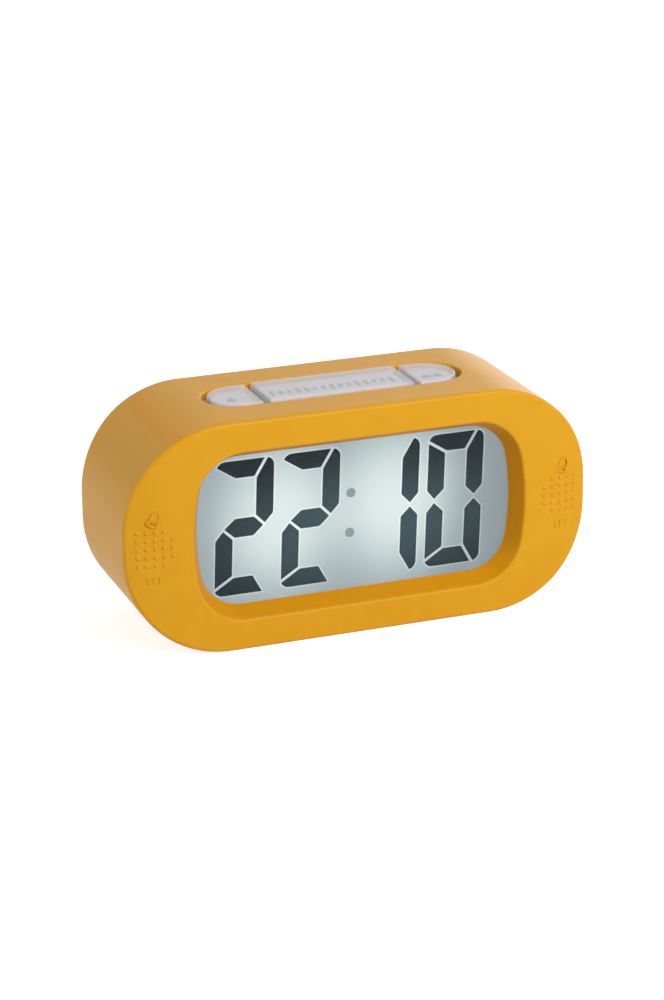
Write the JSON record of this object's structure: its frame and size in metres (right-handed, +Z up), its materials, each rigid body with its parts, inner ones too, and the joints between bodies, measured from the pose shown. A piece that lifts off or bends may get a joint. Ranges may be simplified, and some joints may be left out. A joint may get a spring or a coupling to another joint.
{
  "type": "digital alarm clock",
  "caption": "Pill-shaped digital alarm clock in a pull-over silicone sleeve, with a clear window, a top key bar and a battery bay.",
  "frame": {"origin": "middle of the underside, on the surface that the clock stands on", "axes": "+X to the viewer's right, -Y out of the display, +Z up"},
  "size_m": [0.14, 0.0478, 0.0684],
  "materials": {
    "sleeve_silicone": "satin moulded silicone, mustard yellow",
    "case_plastic": "fine spark-eroded texture, off-white",
    "steel_screw": "zinc plated",
    "tape": "black foam tape",
    "clear_lens": "polished clear acrylic",
    "lcd_glass": "polished display glass",
    "lcd_ink": "dark segments",
    "lcd_pale_ink": "half-toned segments",
    "diffuser": "pale grey-green light diffuser",
    "white_plastic": "white moulded plastic",
    "clear_cap": "clear polished plastic",
    "conductive_rubber": "layered conductive strip",
    "led": "clear resin over white package",
    "circuit_board": "green solder mask",
    "black_resin": "black moulded",
    "switch_plunger": "black plunger",
    "tin_can": "bright can",
    "battery_jacket": "plain printed foil jacket",
    "nickel_steel": "nickel plated",
    "sounder_brass": "thin spun brass",
    "ceramic": "silvered ceramic",
    "red_insulation": "insulated wire",
    "dark_insulation": "insulated wire"
  },
  "bodies": {
    "case": {"silicone_sleeve": "sleeve_silicone", "front_case": "case_plastic", "rear_case": "case_plastic", "case_screws": "steel_screw", "lens_tape": "tape", "display_lens": "clear_lens", "lcd_front_glass": "lcd_glass", "lcd_segments": "lcd_ink", "lcd_colon": "lcd_pale_ink", "lcd_rear_glass": "lcd_glass", "diffuser_plate": "diffuser", "lcd_holder": "white_plastic", "zebra_strip": "conductive_rubber", "backlight_leds": "led", "main_pcb": "circuit_board", "pcb_screws": "steel_screw", "controller_chip": "black_resin", "clock_crystal": "tin_can", "electrolytic_capacitor": "tin_can", "smd_parts": "black_resin", "pad_switches": "black_resin", "key_switches": "black_resin", "key_pcb": "circuit_board", "key_pcb_screws": "steel_screw", "battery_cell_top": "battery_jacket", "battery_cell_middle": "battery_jacket", "battery_cell_bottom": "battery_jacket", "battery_springs": "nickel_steel", "battery_contacts": "nickel_steel", "piezo_disc": "sounder_brass", "piezo_ceramic": "ceramic", "red_wire": "red_insulation", "black_wire": "dark_insulation", "sounder_wires": "dark_insulation", "key_ribbon": "dark_insulation"},
    "snooze_key": {"snooze_cap": "clear_cap", "snooze_carrier": "white_plastic", "snooze_plunger": "switch_plunger"},
    "hour_key": {"hour_cap": "clear_cap", "hour_carrier": "white_plastic", "hour_plunger": "switch_plunger"},
    "minute_key": {"minute_cap": "clear_cap", "minute_carrier": "white_plastic", "minute_plunger": "switch_plunger"},
    "left_pad": {"left_pad_key": "white_plastic", "left_pad_plunger": "switch_plunger"},
    "right_pad": {"right_pad_key": "white_plastic", "right_pad_plunger": "switch_plunger"},
    "battery_cover": {"battery_door": "case_plastic", "door_screw": "steel_screw"}
  },
  "joints": [
    {"name": "snooze_press", "type": "slide", "parent": "case", "child": "snooze_key", "axis": [0, 0, -1], "range_m": [0, 0.0008], "stiffness_N_per_m": 600},
    {"name": "hour_press", "type": "slide", "parent": "case", "child": "hour_key", "axis": [0, 0, -1], "range_m": [0, 0.0008], "stiffness_N_per_m": 600},
    {"name": "minute_press", "type": "slide", "parent": "case", "child": "minute_key", "axis": [0, 0, -1], "range_m": [0, 0.0008], "stiffness_N_per_m": 600},
    {"name": "left_pad_press", "type": "slide", "parent": "case", "child": "left_pad", "axis": [0, 1, 0], "range_m": [0, 0.0004], "stiffness_N_per_m": 600},
    {"name": "right_pad_press", "type": "slide", "parent": "case", "child": "right_pad", "axis": [0, 1, 0], "range_m": [0, 0.0004], "stiffness_N_per_m": 600},
    {"name": "battery_door_lift", "type": "slide", "parent": "case", "child": "battery_cover", "axis": [0, 1, 0], "range_m": [0, 0.03]}
  ]
}
